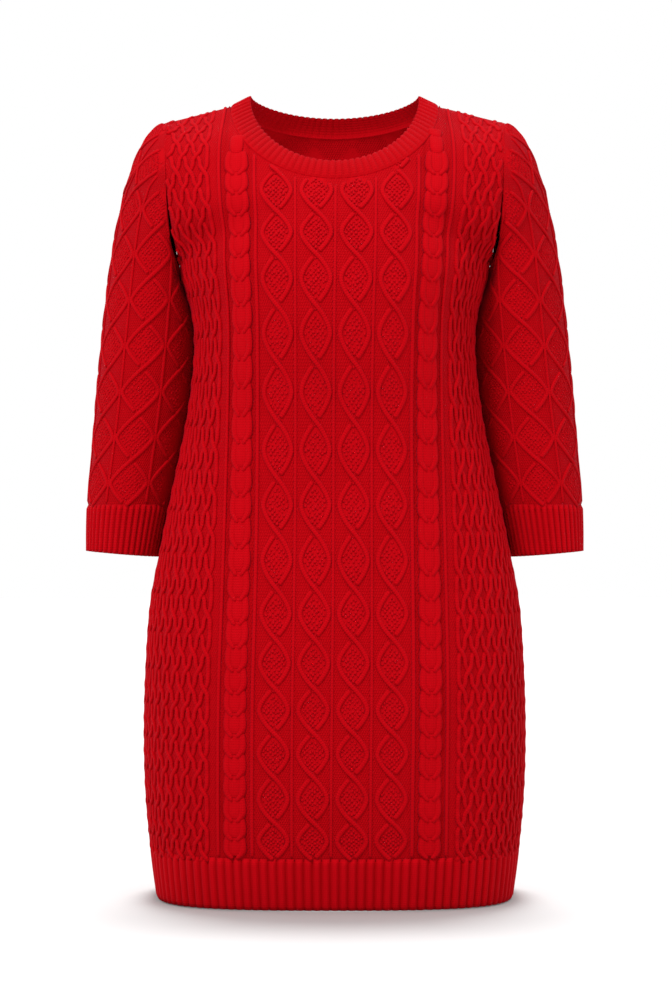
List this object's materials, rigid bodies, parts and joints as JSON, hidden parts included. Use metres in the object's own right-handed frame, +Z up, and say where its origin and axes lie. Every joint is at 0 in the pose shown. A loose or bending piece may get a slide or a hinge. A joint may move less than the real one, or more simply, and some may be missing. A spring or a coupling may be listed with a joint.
{
  "type": "cable knit sweater dress",
  "caption": "Knee-length crew-neck sweater dress in cable knit with three-quarter sleeves, filled out as worn with nobody in it, open at neck, hem and cuffs.",
  "frame": {"origin": "where the wearer's shoulders hold the dress, on its middle plane at shoulder height", "axes": "+Z up, the front faces -Y, +X towards the wearer's left sleeve"},
  "size_m": [0.555, 0.27, 0.8835],
  "materials": {
    "front_knit": "matt red wool knit",
    "back_knit": "matt red wool knit",
    "sleeve_knit": "matt red wool knit",
    "neckband_knit": "matt red wool knit"
  },
  "bodies": {
    "root": {"front": "front_knit", "back": "back_knit", "sleeve_left": "sleeve_knit", "sleeve_right": "sleeve_knit", "neckband": "neckband_knit"}
  },
  "joints": []
}
